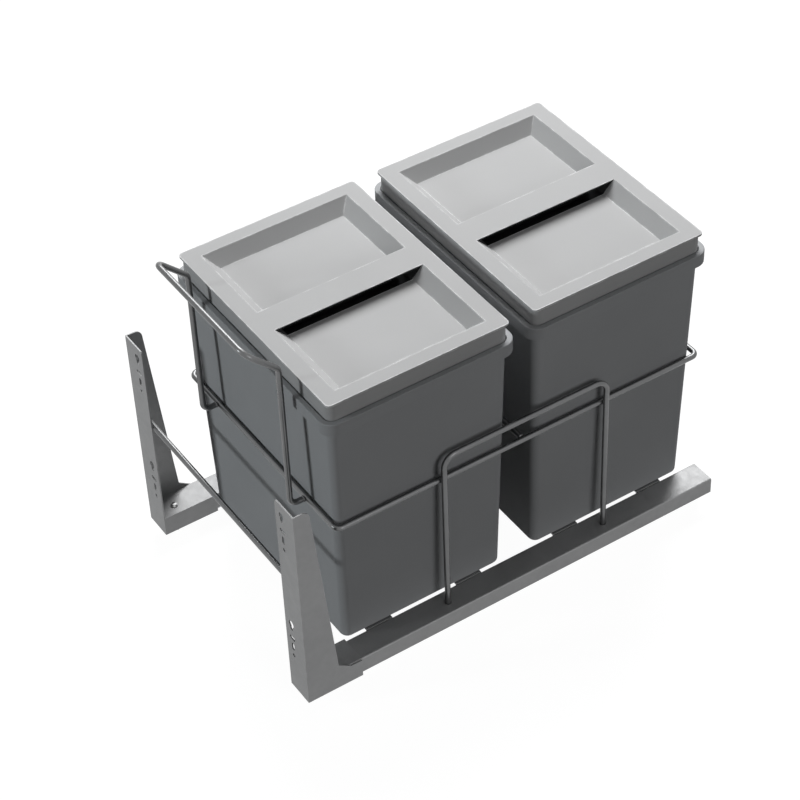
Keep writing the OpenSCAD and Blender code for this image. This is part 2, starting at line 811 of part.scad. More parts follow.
// Hollow under the grip bar, grown outwards by g, drawn in (y, z)
module finger_hollow(g) {
    y1 = lid_d / 2 - lid_border_y + g;
    top = lid_z1 - (g > 0 ? lid_wall / 2 : grip_t);
    y_top = y1 - (g > 0 ? 0 : pocket_slope * grip_t / pocket_depth);
    low = lid_z1 - pocket_depth - g;
    deep = low - hollow_depth;
    x1 = grip_w / 2 + g;
    y_low = y1 - pocket_slope;
    y_deep = y_low - hollow_slope;
    translate([-x1, 0, 0]) rotate([90, 0, 90]) linear_extrude(2 * x1)
        polygon([[-y_top, top], [y_top, top], [y_low, low], [y_deep, deep], [-y_deep, deep], [-y_low, low]]);
}

module lid_shell() {
    difference() {
        union() {
            slab(lid_w, lid_d, lid_r, lid_z0, lid_z1);
            difference() {
                slab(skirt_w, skirt_d, skirt_r, seat_z, lid_z0 + 0.5);
                slab(skirt_w - 2 * skirt_wall, skirt_d - 2 * skirt_wall, skirt_r - skirt_wall,
                    seat_z - 1, lid_z0);
            }
            for (s = sides) pocket(s, lid_wall);
            finger_hollow(lid_wall);
        }
        for (s = sides) pocket(s, 0);
        finger_hollow(0);
    }
}

module front_lid() {
    color(light_plastic) translate([0, front_bin_y, 0]) lid_shell();
}

module rear_lid() {
    color(light_plastic) translate([0, rear_bin_y, 0]) lid_shell();
}

runner_feet(-1);  // runner_feet_left
runner_feet(1);  // runner_feet_right
outer_member(-1);  // outer_member_left
outer_member(1);  // outer_member_right
foot_rivets();
rear_buffers();
middle_member(-1);  // middle_member_left
middle_member(1);  // middle_member_right
outer_cage(-1);  // outer_cage_left
outer_cage(1);  // outer_cage_right
outer_balls(-1);  // outer_balls_left
outer_balls(1);  // outer_balls_right
inner_cage(-1);  // inner_cage_left
inner_cage(1);  // inner_cage_right
inner_balls(-1);  // inner_balls_left
inner_balls(1);  // inner_balls_right
inner_member(-1);  // inner_member_left
inner_member(1);  // inner_member_right
hanger(-1);  // hanger_left
hanger(1);  // hanger_right
hanger_rivets();
rail(-1);  // rail_left
rail(1);  // rail_right
door_bracket(-1);  // door_bracket_left
door_bracket(1);  // door_bracket_right
bracket_screws();
bracket_nuts();
tie_rod();
cross_bar(bar_y(0));  // cross_bar_1
cross_bar(bar_y(1));  // cross_bar_2
cross_bar(bar_y(2));  // cross_bar_3
cross_bar(bar_y(3));  // cross_bar_4
ring_wire();
divider_wire();
side_loop(-1);  // side_loop_left
side_loop(1);  // side_loop_right
handle();
front_bin();
rear_bin();
front_lid();
rear_lid();
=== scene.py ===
# %% [markdown]
# # A pull-out bin frame, dressed in Blender
#
# The object is a steel frame that rolls out of a kitchen base cabinet on two ball runners.
# It carries two grey plastic bins with loose lids, held by a bent wire ring, two side hoops
# and a wire handle. Two folded steel brackets at the front take the cabinet's door.
#
# Every solid is already made, so this lesson is about looks. We load the solids, place the
# camera and the lamps, make one finish for each real material, and then go from piece to
# piece: sheet metal gets broken edges, the moulded bins and lids get real mould radii, and
# the welded joints get their beads.

# %% Load the solids
import math
import bpy
import bmesh
from mathutils import Matrix, Vector


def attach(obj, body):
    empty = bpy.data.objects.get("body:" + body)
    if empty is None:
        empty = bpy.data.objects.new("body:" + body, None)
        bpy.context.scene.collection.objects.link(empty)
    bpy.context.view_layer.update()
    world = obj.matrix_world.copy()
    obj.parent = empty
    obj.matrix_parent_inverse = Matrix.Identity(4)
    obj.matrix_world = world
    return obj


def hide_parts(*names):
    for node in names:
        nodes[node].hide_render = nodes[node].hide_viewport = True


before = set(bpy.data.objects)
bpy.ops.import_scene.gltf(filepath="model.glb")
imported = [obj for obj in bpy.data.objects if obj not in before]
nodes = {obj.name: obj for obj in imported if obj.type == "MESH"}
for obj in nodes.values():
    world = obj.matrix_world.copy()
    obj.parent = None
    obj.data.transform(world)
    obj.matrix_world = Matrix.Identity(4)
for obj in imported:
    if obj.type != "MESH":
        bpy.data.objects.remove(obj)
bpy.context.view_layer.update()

# %% [markdown]
# ## Millimetres
#
# A drawing of such a frame is in millimetres and Blender works in metres. One small helper
# turns one into the other, so that every number below can be read as on the drawing.

# %% Millimetres to metres
def mm(*values):
    if len(values) == 1:
        return values[0] / 1000.0
    return tuple(value / 1000.0 for value in values)

print("a 6 mm wire is", mm(6), "m thick")

# %% [markdown]
# ## The camera
#
# The picture was taken from the door side, from the right and well above the bins, with a
# long lens. Azimuth, elevation and a slight roll give the direction of view. A rotation
# matrix is built from three axes: across the picture, up the picture, and back towards us.
# This is exact, where turning the camera by hand would need many tries.

# %% Place the camera
view_azimuth = math.radians(58.22)
view_elevation = math.radians(41.958)
view_roll = math.radians(2.627)
look = Vector((-math.sin(view_azimuth) * math.cos(view_elevation),
               math.cos(view_azimuth) * math.cos(view_elevation),
               -math.sin(view_elevation)))
across = Vector((math.cos(view_azimuth), math.sin(view_azimuth), 0))
upward = across.cross(look)
picture_x = across * math.cos(view_roll) - upward * math.sin(view_roll)
picture_y = across * math.sin(view_roll) + upward * math.cos(view_roll)

camera_place = mm(1570.6, -1006.0, 1845.2)
camera_data = bpy.data.cameras.new("camera")
camera_data.lens = 109.7
camera_data.sensor_width = 36
camera = bpy.data.objects.new("camera", camera_data)
bpy.context.scene.collection.objects.link(camera)
turn = Matrix((picture_x, picture_y, -look)).transposed().to_4x4()
camera.matrix_world = Matrix.Translation(camera_place) @ turn
bpy.context.scene.camera = camera
bpy.context.scene.view_settings.view_transform = "Standard"
print("camera lens", camera_data.lens, "mm")

# %% [markdown]
# ## Soft lamps at a plain level
#
# A photographer lights such a product from soft boxes. The main one hangs behind and to the
# left, so tops are light, the front is grey and the right side is dark. A small weak one
# stands in front, a little to the left, and draws the thin shadows of the wires. A large
# faint one stands on the right. The level matters more than the number of lamps: a box of
# power P at distance d adds P / (pi * d)^2 of full brightness to a surface that faces it.
# The helper turns that round, so we can ask for a brightness, and a colour then renders
# about as it is written.

# %% Hang the lamps
middle = Vector(mm(0, 22, 200))
lamp_distance = 3.0

def soft_box(name, direction, size, brightness, colour=(1, 1, 1)):
    lamp = bpy.data.lights.new(name, "AREA")
    lamp.color = colour
    lamp.shape = "DISK"
    lamp.size = size
    lamp.energy = brightness * (math.pi * lamp_distance) ** 2
    holder = bpy.data.objects.new(name, lamp)
    way = Vector(direction).normalized()
    holder.location = middle + way * lamp_distance
    holder.rotation_euler = way.to_track_quat("Z", "Y").to_euler()
    bpy.context.scene.collection.objects.link(holder)
    print(name, "power", round(lamp.energy, 1), "W")

soft_box("main soft box", (-0.70, 0.52, 1.0), 2.0, 1.1)
soft_box("front soft box", (-0.25, -1.0, 0.30), 0.45, 0.24, (0.93, 0.98, 1.0))
soft_box("right soft box", (1.0, 0.05, 0.5), 1.4, 0.155)

# %% [markdown]
# ## White surroundings
#
# The picture has a plain white background. The Light Path node tells the world what kind of
# ray asks: the camera, and gloss and clear things, are shown white, while rays that carry
# light to the object find only a dim room. So the background is white without one more
# watt on the object.

# %% Paint the room
room = bpy.data.worlds.new("room")
room.use_nodes = True
bpy.context.scene.world = room

def seen_white(tree):
    path = tree.nodes.new("ShaderNodeLightPath")
    first = tree.nodes.new("ShaderNodeMath")
    first.operation = "MAXIMUM"
    second = tree.nodes.new("ShaderNodeMath")
    second.operation = "MAXIMUM"
    tree.links.new(path.outputs["Is Camera Ray"], first.inputs[0])
    tree.links.new(path.outputs["Is Glossy Ray"], first.inputs[1])
    tree.links.new(first.outputs[0], second.inputs[0])
    tree.links.new(path.outputs["Is Transmission Ray"], second.inputs[1])
    return second.outputs[0]

room_nodes = room.node_tree.nodes
dim_air = room_nodes["Background"]
dim_air.inputs["Color"].default_value = (0.96, 0.98, 1.0, 1)
dim_air.inputs["Strength"].default_value = 0.01
white_air = room_nodes.new("ShaderNodeBackground")
white_air.inputs["Color"].default_value = (1, 1, 1, 1)
white_air.inputs["Strength"].default_value = 1.0
air_mix = room_nodes.new("ShaderNodeMixShader")
room.node_tree.links.new(seen_white(room.node_tree), air_mix.inputs[0])
room.node_tree.links.new(dim_air.outputs[0], air_mix.inputs[1])
room.node_tree.links.new(white_air.outputs[0], air_mix.inputs[2])
room.node_tree.links.new(air_mix.outputs[0], room_nodes["World Output"].inputs["Surface"])
print("room strength for light:", dim_air.inputs["Strength"].default_value)

# %% [markdown]
# ## The floor
#
# The floor is pale and carries the frame's soft shadow. Part of it glows for the camera, so
# it ends up as white as the room, and the rest is a matt white that shows the shadow. For
# rays that carry light the floor is a darker matt, as a table at some distance would be.

# %% Lay the floor
floor_paint = bpy.data.materials.new("floor paint")
floor_paint.use_nodes = True
floor_tree = floor_paint.node_tree
floor_tree.nodes.remove(floor_tree.nodes["Principled BSDF"])
glow = floor_tree.nodes.new("ShaderNodeEmission")
glow.inputs["Strength"].default_value = 1.1
matt_white = floor_tree.nodes.new("ShaderNodeBsdfDiffuse")
matt_white.inputs["Color"].default_value = (0.95, 0.95, 0.95, 1)
matt_grey = floor_tree.nodes.new("ShaderNodeBsdfDiffuse")
matt_grey.inputs["Color"].default_value = (0.06, 0.06, 0.06, 1)
pale = floor_tree.nodes.new("ShaderNodeMixShader")
pale.inputs[0].default_value = 0.12
floor_mix = floor_tree.nodes.new("ShaderNodeMixShader")
floor_tree.links.new(glow.outputs[0], pale.inputs[1])
floor_tree.links.new(matt_white.outputs[0], pale.inputs[2])
floor_tree.links.new(seen_white(floor_tree), floor_mix.inputs[0])
floor_tree.links.new(matt_grey.outputs[0], floor_mix.inputs[1])
floor_tree.links.new(pale.outputs[0], floor_mix.inputs[2])
floor_tree.links.new(floor_mix.outputs[0], floor_tree.nodes["Material Output"].inputs["Surface"])

floor_half = 6.0
floor_height = mm(-0.5)
floor_mesh = bpy.data.meshes.new("floor")
floor_mesh.from_pydata([(x * floor_half, y * floor_half, floor_height)
                        for x, y in ((-1, -1), (1, -1), (1, 1), (-1, 1))], [], [(0, 1, 2, 3)])
floor = bpy.data.objects.new("floor", floor_mesh)
floor_mesh.materials.append(floor_paint)
bpy.context.scene.collection.objects.link(floor)
print("floor", 2 * floor_half, "m wide")

# %% [markdown]
# ## Tools for finishes
#
# A finish is a Principled shader fed by patterns, and a few small tools cover all of them. One
# makes a noise pattern in the object's own space, stretched if asked. One turns a pattern
# into a range of tones, one into a range of roughness, and one into fine relief. Patterns in
# object space need no unwrapping and keep their real scale in metres. Another tool finds
# edges: the Bevel node gives the normal that a rounded edge would have, and where it leans
# away from the true normal there is an edge. That edge is made lighter: a little for the wear
# that hands and cloths rub into it, and on the lids much more, as a painted highlight for the
# thin line of light that a rounded edge catches.

# %% Pattern tools
def new_finish(name, metal=0.0, gloss=0.5):
    finish = bpy.data.materials.new(name)
    finish.use_nodes = True
    skin = finish.node_tree.nodes["Principled BSDF"]
    skin.inputs["Metallic"].default_value = metal
    skin.inputs["Specular IOR Level"].default_value = gloss
    return finish, finish.node_tree, skin

def grain(tree, per_metre, detail=3.0, stretch=(1, 1, 1), rough=0.5):
    place = tree.nodes.new("ShaderNodeTexCoord")
    scale = tree.nodes.new("ShaderNodeMapping")
    scale.inputs["Scale"].default_value = stretch
    noise = tree.nodes.new("ShaderNodeTexNoise")
    noise.inputs["Scale"].default_value = per_metre
    noise.inputs["Detail"].default_value = detail
    noise.inputs["Roughness"].default_value = rough
    tree.links.new(place.outputs["Object"], scale.inputs["Vector"])
    tree.links.new(scale.outputs["Vector"], noise.inputs["Vector"])
    return noise.outputs["Fac"]

def cells(tree, per_metre):
    place = tree.nodes.new("ShaderNodeTexCoord")
    cell = tree.nodes.new("ShaderNodeTexVoronoi")
    cell.inputs["Scale"].default_value = per_metre
    tree.links.new(place.outputs["Object"], cell.inputs["Vector"])
    return cell

def span(tree, pattern, low, high, start=0.3, end=0.7):
    scale = tree.nodes.new("ShaderNodeMapRange")
    scale.inputs["From Min"].default_value = start
    scale.inputs["From Max"].default_value = end
    scale.inputs["To Min"].default_value = low
    scale.inputs["To Max"].default_value = high
    tree.links.new(pattern, scale.inputs["Value"])
    return scale.outputs["Result"]

def tones(tree, pattern, dark, light, start=0.3, end=0.7):
    ramp = tree.nodes.new("ShaderNodeValToRGB")
    ramp.color_ramp.elements[0].position = start
    ramp.color_ramp.elements[0].color = (*dark, 1)
    ramp.color_ramp.elements[1].position = end
    ramp.color_ramp.elements[1].color = (*light, 1)
    tree.links.new(pattern, ramp.inputs["Fac"])
    return ramp.outputs["Color"]

def blend_tones(tree, amount, under, over):
    mix = tree.nodes.new("ShaderNodeMix")
    mix.data_type = "RGBA"
    tree.links.new(amount, mix.inputs["Factor"])
    tree.links.new(under, mix.inputs[6])
    mix.inputs[7].default_value = (*over, 1)
    return mix.outputs[2]

def relief(tree, pattern, depth, strength=1.0, under=None):
    bump = tree.nodes.new("ShaderNodeBump")
    bump.inputs["Distance"].default_value = depth
    bump.inputs["Strength"].default_value = strength
    tree.links.new(pattern, bump.inputs["Height"])
    if under is not None:
        tree.links.new(under, bump.inputs["Normal"])
    return bump.outputs["Normal"]

# Edge mask for lightening edges: slight real wear on bins and sheet, and a painted highlight on the
# lids.
def rubbed_and_highlit_edges(tree, reach=0.0012):
    shape = tree.nodes.new("ShaderNodeNewGeometry")
    soft = tree.nodes.new("ShaderNodeBevel")
    soft.samples = 4
    soft.inputs["Radius"].default_value = reach
    lean = tree.nodes.new("ShaderNodeVectorMath")
    lean.operation = "DOT_PRODUCT"
    tree.links.new(shape.outputs["Normal"], lean.inputs[0])
    tree.links.new(soft.outputs["Normal"], lean.inputs[1])
    edge = span(tree, lean.outputs["Value"], 1.0, 0.0, 0.92, 0.995)
    patch = span(tree, grain(tree, 55, 4.0), 0.15, 1.0, 0.42, 0.62)
    both = tree.nodes.new("ShaderNodeMath")
    both.operation = "MULTIPLY"
    both.use_clamp = True
    tree.links.new(edge, both.inputs[0])
    tree.links.new(patch, both.inputs[1])
    return both.outputs[0]

print("pattern tools ready")

# %% [markdown]
# ## Grey moulded plastic
#
# Bins and lids are injection moulded from a mid grey plastic. The steel mould is spark
# eroded, so the plastic has a fine even grain of about half a millimetre. The tone drifts a
# little where the plastic flowed, handling leaves faint upright scuffs, and edges that are
# touched often turn slightly lighter. The lids are a little lighter in tone and glossier than
# the bins. Their edges are made much lighter over a wider band, and that is a painted
# highlight: the line of light along the small mould radius of a lid's edge.

# %% Plastic of the bins and lids
def moulded_plastic(name, dark, light, smooth, rough, rub_and_highlight=1.18, reach=0.0012, gloss=0.07):
    finish, tree, skin = new_finish(name, gloss=gloss)
    drift = tones(tree, grain(tree, 9, 3.0), dark, light)
    specks = span(tree, grain(tree, 2600, 1.0), 0.0, 0.35, 0.55, 0.8)
    speckled = blend_tones(tree, specks, drift, tuple(channel * 1.25 for channel in light))
    # Edges lighter by rub_and_highlight: slight wear on the bins, a painted highlight along the
    # lids' edges.
    worn = blend_tones(tree, rubbed_and_highlit_edges(tree, reach), speckled,
                       tuple(min(1, channel * rub_and_highlight) for channel in light))
    tree.links.new(worn, skin.inputs["Base Color"])
    scuffs = grain(tree, 1.0, 5.0, (420, 420, 26), 0.6)
    tree.links.new(span(tree, scuffs, smooth, rough), skin.inputs["Roughness"])
    sparked = relief(tree, grain(tree, 1700, 2.0), 0.00005, 0.5)
    flow = relief(tree, grain(tree, 26, 2.0), 0.0002, 0.1, sparked)
    tree.links.new(flow, skin.inputs["Normal"])
    return finish

bin_finish = moulded_plastic("bin plastic", (0.461, 0.472, 0.484), (0.491, 0.502, 0.514),
                             0.56, 0.64)
# The lids' strong, wide edge lightening is a painted highlight.
lid_finish = moulded_plastic("lid plastic", (0.52, 0.523, 0.526), (0.55, 0.553, 0.556), 0.56, 0.63,
                             rub_and_highlight=1.8, reach=0.0026, gloss=0.14)
print("plastics:", bin_finish.name, "and", lid_finish.name)

# %% [markdown]
# ## Silver grey powder coat on the sheet metal
#
# Rails, brackets and cross bars are folded from steel sheet and powder coated in a satin
# silver grey. Powder melts into a skin with a fine orange peel, and the metallic powder
# gives tiny flakes that catch the light. So the shader is mostly metal with a dull skin: a
# face that looks at the white room is light, one that looks at the dark bins is dark, and
# the far end of a rail shows the main soft box. Cells of three tenths of a millimetre are
# the flakes.

# %% Paint of the sheet metal
def silver_coat(name, dark, light):
    finish, tree, skin = new_finish(name, metal=0.75, gloss=0.12)
    drift = tones(tree, grain(tree, 14, 3.0), dark, light)
    flakes = span(tree, cells(tree, 3200).outputs["Distance"], 0.4, 0.0, 0.05, 0.5)
    sparkle = blend_tones(tree, flakes, drift, tuple(min(1, channel * 1.22) for channel in light))
    worn = blend_tones(tree, rubbed_and_highlit_edges(tree), sparkle,
                       tuple(min(1, channel * 1.2) for channel in light))
    tree.links.new(worn, skin.inputs["Base Color"])
    tree.links.new(span(tree, grain(tree, 120, 4.0), 0.50, 0.58), skin.inputs["Roughness"])
    peel = relief(tree, grain(tree, 620, 2.0), 0.00012, 0.35)
    dust = relief(tree, grain(tree, 2600, 1.0), 0.00003, 0.4, peel)
    tree.links.new(dust, skin.inputs["Normal"])
    return finish

sheet_finish = silver_coat("sheet paint", (0.226, 0.228, 0.230), (0.256, 0.258, 0.260))
print("paint:", sheet_finish.name)

# %% [markdown]
# ## Gloss coat on the bent wires
#
# The wires have a darker and glossier coat, because the powder flows better on a round
# wire. Light runs along them as a thin line. A smooth metallic skin with a strong highlight
# gives that line, and a fine peel keeps it from looking like glass.

# %% Paint of the wires
def wire_coat(name, dark, light):
    finish, tree, skin = new_finish(name, metal=0.8, gloss=1.0)
    drift = tones(tree, grain(tree, 30, 3.0), dark, light)
    worn = blend_tones(tree, span(tree, grain(tree, 420, 2.0), 0.0, 0.25, 0.5, 0.75), drift,
                       tuple(channel * 0.8 for channel in dark))
    tree.links.new(worn, skin.inputs["Base Color"])
    tree.links.new(span(tree, grain(tree, 90, 3.0), 0.27, 0.33), skin.inputs["Roughness"])
    tree.links.new(relief(tree, grain(tree, 520, 2.0), 0.00006, 0.25), skin.inputs["Normal"])
    return finish

wire_finish = wire_coat("wire paint", (0.125, 0.127, 0.129), (0.150, 0.152, 0.154))
print("paint:", wire_finish.name)

# %% [markdown]
# ## Steel of the runners, screws and balls
#
# The runners are cold rolled from zinc plated strip: bright, a little blue, with lines along
# the rolling direction and faint cloudy flowers of zinc. Stretching a noise more than a
# hundred times along the runner gives the lines. Screws and rivets have a plain zinc
# plating, and the balls are polished.

# %% Bare metals
def rolled_zinc(name):
    finish, tree, skin = new_finish(name, metal=1.0)
    flowers = cells(tree, 130)
    tone = tones(tree, flowers.outputs["Color"], (0.44, 0.45, 0.47), (0.56, 0.565, 0.575), 0.1, 0.9)
    lines = grain(tree, 1.0, 4.0, (1500, 9, 1500), 0.7)
    lined = blend_tones(tree, span(tree, lines, 0.0, 0.45), tone, (0.38, 0.39, 0.41))
    tree.links.new(lined, skin.inputs["Base Color"])
    tree.links.new(span(tree, lines, 0.28, 0.42), skin.inputs["Roughness"])
    tree.links.new(relief(tree, lines, 0.00004, 0.4), skin.inputs["Normal"])
    return finish

def plated_zinc(name):
    finish, tree, skin = new_finish(name, metal=1.0)
    cloud = grain(tree, 260, 4.0)
    tone = tones(tree, cloud, (0.42, 0.43, 0.45), (0.54, 0.54, 0.53))
    tree.links.new(tone, skin.inputs["Base Color"])
    tree.links.new(span(tree, grain(tree, 900, 3.0), 0.24, 0.4), skin.inputs["Roughness"])
    tree.links.new(relief(tree, grain(tree, 1500, 2.0), 0.00003, 0.4), skin.inputs["Normal"])
    return finish

def polished_ball(name):
    finish, tree, skin = new_finish(name, metal=1.0)
    oil = grain(tree, 500, 3.0)
    tone = tones(tree, oil, (0.60, 0.60, 0.60), (0.74, 0.74, 0.75))
    tree.links.new(tone, skin.inputs["Base Color"])
    tree.links.new(span(tree, oil, 0.08, 0.2), skin.inputs["Roughness"])
    tree.links.new(relief(tree, grain(tree, 3000, 1.0), 0.000005, 0.2), skin.inputs["Normal"])
    return finish

runner_finish = rolled_zinc("runner steel")
fastener_finish = plated_zinc("fastener steel")
ball_finish = polished_ball("ball steel")
print("metals:", runner_finish.name, fastener_finish.name, ball_finish.name)

# %% [markdown]
# ## Small mouldings
#
# The ball cages are moulded from an uncoloured, slightly milky plastic and greased. The
# buffers that catch the frame at the end of its way are black rubber with a matt, slightly
# dusty skin.

# %% Cage plastic and rubber
def milky_plastic(name):
    finish, tree, skin = new_finish(name)
    skin.inputs["Subsurface Weight"].default_value = 0.1
    skin.inputs["Subsurface Scale"].default_value = 0.002
    grease = grain(tree, 180, 4.0)
    tone = tones(tree, grease, (0.58, 0.56, 0.50), (0.72, 0.71, 0.67))
    tree.links.new(tone, skin.inputs["Base Color"])
    tree.links.new(span(tree, grease, 0.28, 0.5), skin.inputs["Roughness"])
    tree.links.new(relief(tree, grain(tree, 1400, 2.0), 0.00003, 0.4), skin.inputs["Normal"])
    return finish

def matt_rubber(name):
    finish, tree, skin = new_finish(name, gloss=0.35)
    dust = grain(tree, 300, 4.0)
    tone = tones(tree, dust, (0.018, 0.018, 0.019), (0.045, 0.045, 0.046))
    tree.links.new(tone, skin.inputs["Base Color"])
    tree.links.new(span(tree, dust, 0.6, 0.8), skin.inputs["Roughness"])
    tree.links.new(relief(tree, grain(tree, 1100, 2.0), 0.00006, 0.5), skin.inputs["Normal"])
    return finish

cage_finish = milky_plastic("cage plastic")
rubber_finish = matt_rubber("buffer rubber")
print("mouldings:", cage_finish.name, rubber_finish.name)

# %% [markdown]
# ## Finishes onto the solids
#
# Each solid came with a plain stand-in material that is named after its slot. Swapping the
# material in the slot keeps the mesh as it is, so this is the right way for every part
# whose shape is already fine. The rod between the brackets has the coat of the wires.

# %% Dress every solid
finishes = {
    "frame_paint": sheet_finish,
    "wire_paint": wire_finish,
    "runner_steel": runner_finish,
    "ball_steel": ball_finish,
    "fastener_steel": fastener_finish,
    "cage_plastic": cage_finish,
    "bin_plastic": bin_finish,
    "lid_plastic": lid_finish,
    "buffer_rubber": rubber_finish,
}
for name, piece in nodes.items():
    for slot in piece.material_slots:
        slot.material = finishes[slot.material.name.split(".")[0]]
for slot in nodes["tie_rod"].material_slots:
    slot.material = wire_finish
print("dressed", len(nodes), "solids in", len(finishes), "finishes")

# %% [markdown]
# ## Broken edges on sheet, bars and lids
#
# A cut or folded edge of painted steel is never a perfect corner: the paint rounds it and a
# fine line of light runs along it. The solids come in as triangles that don't share corners,
# so three modifiers work in turn. Weld joins the corners, Decimate merges the triangles of
# each flat face, and Bevel rounds what is left by a few tenths of a millimetre. The lids
# have small mould radii and take the same treatment. The solid's own mesh stays untouched
# beneath.

# %% Round the edges of folded steel and lids
def even_light(piece):
    even = piece.modifiers.new("even light", "WEIGHTED_NORMAL")
    even.keep_sharp = True

def broken_edges(piece, width):
    weld = piece.modifiers.new("join corners", "WELD")
    weld.merge_threshold = mm(0.005)
    flat = piece.modifiers.new("flat faces", "DECIMATE")
    flat.decimate_type = "DISSOLVE"
    flat.angle_limit = math.radians(0.4)
    edge = piece.modifiers.new("broken edges", "BEVEL")
    edge.width = mm(width)
    edge.segments = 2
    edge.limit_method = "ANGLE"
    edge.angle_limit = math.radians(28)
    even_light(piece)

edge_widths = {
    "rail_left": 0.35, "rail_right": 0.35,
    "door_bracket_left": 0.3, "door_bracket_right": 0.3,
    "hanger_left": 0.3, "hanger_right": 0.3,
    "runner_feet_left": 0.3, "runner_feet_right": 0.3,
    "cross_bar_1": 0.4, "cross_bar_2": 0.4, "cross_bar_3": 0.4, "cross_bar_4": 0.4,
    "front_lid": 0.6, "rear_lid": 0.6,
}
for name, width in edge_widths.items():
    broken_edges(nodes[name], width)
print("broken edges on", len(edge_widths), "parts")

# %% [markdown]
# ## A moulded bin
#
# A bin is a thin box, tapered so that it comes out of its mould. Its shape is one profile,
# from the middle of the underside up the outer wall, over the rim and down the inside, that
# runs round a rectangle with round corners. So we draw the profile as a list of corners with
# radii, turn it into points, and skin one ring of points per profile point. That is a loft,
# and it gives true mould radii and clean shading where a bevelled box would pinch.

# %% Profile tools
crease = math.radians(40)

def turned(start, end, share):
    spin = Matrix.Rotation(-start.angle_signed(end) * share, 2)
    return spin @ start

def rounded_profile(corners, steps=4):
    points = []
    for i, (out, height, radius) in enumerate(corners):
        here = Vector((out, height))
        if radius <= 0 or i in (0, len(corners) - 1):
            points.append(here)
            continue
        before = (Vector(corners[i - 1][:2]) - here).normalized()
        after = (Vector(corners[i + 1][:2]) - here).normalized()
        half = before.angle(after) / 2
        setback = radius / math.tan(half)
        centre = here + (before + after).normalized() * (radius / math.sin(half))
        start = here + before * setback - centre
        end = here + after * setback - centre
        for step in range(steps + 1):
            points.append(centre + turned(start, end, step / steps))
    return points

def round_ring(half_x, half_y, radius, height, centre_y, steps=7):
    ring = []
    for sign_x, sign_y, first in ((1, 1, 0), (-1, 1, 90), (-1, -1, 180), (1, -1, 270)):
        for step in range(steps + 1):
            angle = math.radians(first + 90 * step / steps)
            ring.append((sign_x * (half_x - radius) + radius * math.cos(angle),
                         centre_y + sign_y * (half_y - radius) + radius * math.sin(angle), height))
    return ring

def smooth_piece(name, mesh, finish):
    mesh.shade_smooth()
    mesh.materials.append(finish)
    piece = bpy.data.objects.new(name, mesh)
    bpy.context.scene.collection.objects.link(piece)
    return piece

def skin_rings(name, rings, finish):
    mesh = bpy.data.meshes.new(name)
    shape = bmesh.new()
    rows = [[shape.verts.new(mm(*point)) for point in ring] for ring in rings]
    count = len(rows[0])
    for lower, upper in zip(rows, rows[1:]):
        for i in range(count):
            j = (i + 1) % count
            shape.faces.new((lower[i], lower[j], upper[j], upper[i]))
    shape.faces.new(list(reversed(rows[0])))
    shape.faces.new(rows[-1])
    bmesh.ops.recalc_face_normals(shape, faces=shape.faces)
    shape.to_mesh(mesh)
    shape.free()
    piece = smooth_piece(name, mesh, finish)
    mesh.set_sharp_from_angle(angle=crease)
    even_light(piece)
    print(name, len(mesh.vertices), "points", len(mesh.polygons), "faces")
    return piece

# %% [markdown]
# The bin's numbers are those of its solid. Each corner of the profile is given as its way
# out from the wall, its height and its radius. The wall itself stands at zero, and the rim
# steps out from it. The wall leans in towards the foot, more at the sides than front and back.
# The rim is a hollow channel that is open below, as on any bin that has to be light and
# stiff, and the underside is slightly dished so that the bin stands on its edge. The shelf
# that carries the lid is a hair lower than on the solid, so that the two don't share a face.

# %% Mould the two bins
half_width, side_draft = 135.8, 8.6
half_depth, end_draft = 100.5, 5.0
corner = 8
wall = 2.0
bin_foot = 35.8
dish = bin_foot + 0.9
rim_low = 326.3
rim_top = 340.8
rim_step = rim_low + 6.5
shelf = rim_top - 6.05
rim_out, skirt_out, step_out, mouth_out = 7.5, 5.5, 3.7, 1.7

def bin_ring(out, height, centre_y):
    share = min(1.0, max(0.0, (rim_low - height) / (rim_low - bin_foot)))
    return round_ring(half_width - side_draft * share + out, half_depth - end_draft * share + out,
                      corner + share + out, height, centre_y)

bin_profile = rounded_profile([
    (-22, dish, 0), (-11, dish, 1.5), (-9.6, bin_foot, 0.8), (0, bin_foot, 4.2),
    (0, rim_step, 1.0), (step_out, rim_step, 0.5), (step_out, rim_top - wall, 0.4),
    (skirt_out, rim_top - wall, 0.4), (skirt_out, rim_low, 0.4), (rim_out, rim_low, 0.6),
    (rim_out, rim_top, 1.1), (mouth_out, rim_top, 0.7), (mouth_out, shelf, 0.5),
    (-wall, shelf, 0.9), (-wall, bin_foot + wall, 3.0), (-24, bin_foot + wall, 0),
])
print("bin profile:", len(bin_profile), "points")

def mould_bin(name, centre_y):
    rings = [bin_ring(point.x, point.y, centre_y) for point in bin_profile]
    piece = skin_rings(name, rings, bin_finish)
    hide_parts(name)
    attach(piece, name)

bin_middles = {"front": -94, "rear": 138}
for place, centre_y in bin_middles.items():
    mould_bin(place + "_bin", centre_y)

# %% [markdown]
# ## Painted shade in the hollow under the grip bar
#
# Each lid has a bar across its middle, with a deep hollow under it for the fingers. Looked
# into from above, the hollow lies in deep shade and reads black, and that shade is painted:
# a thin open box of near-black plastic tapers with the hollow and fills it. It is painted
# shade, not a part of the lid. The same loft as for the bins makes the box: up the outside,
# over the edge and down the inside. Each ring is given by its half width, half length, corner
# radius and height. Two thin sloping strips of the same painted shade cover the hollow's ends,
# up to the bar, and a thin sheet of painted shade on each side of the bar carries the black up
# to its edge. Those are given by their outlines, each corner a place along the hollow and a height.

# %% Paint the shade in the finger hollows
# Painted shade: near-black plastic that stands in for the deep shade in the finger hollow.
painted_shade_finish = moulded_plastic("painted hollow shade", (0.026, 0.027, 0.028), (0.036, 0.037, 0.038),
                               0.6, 0.72)

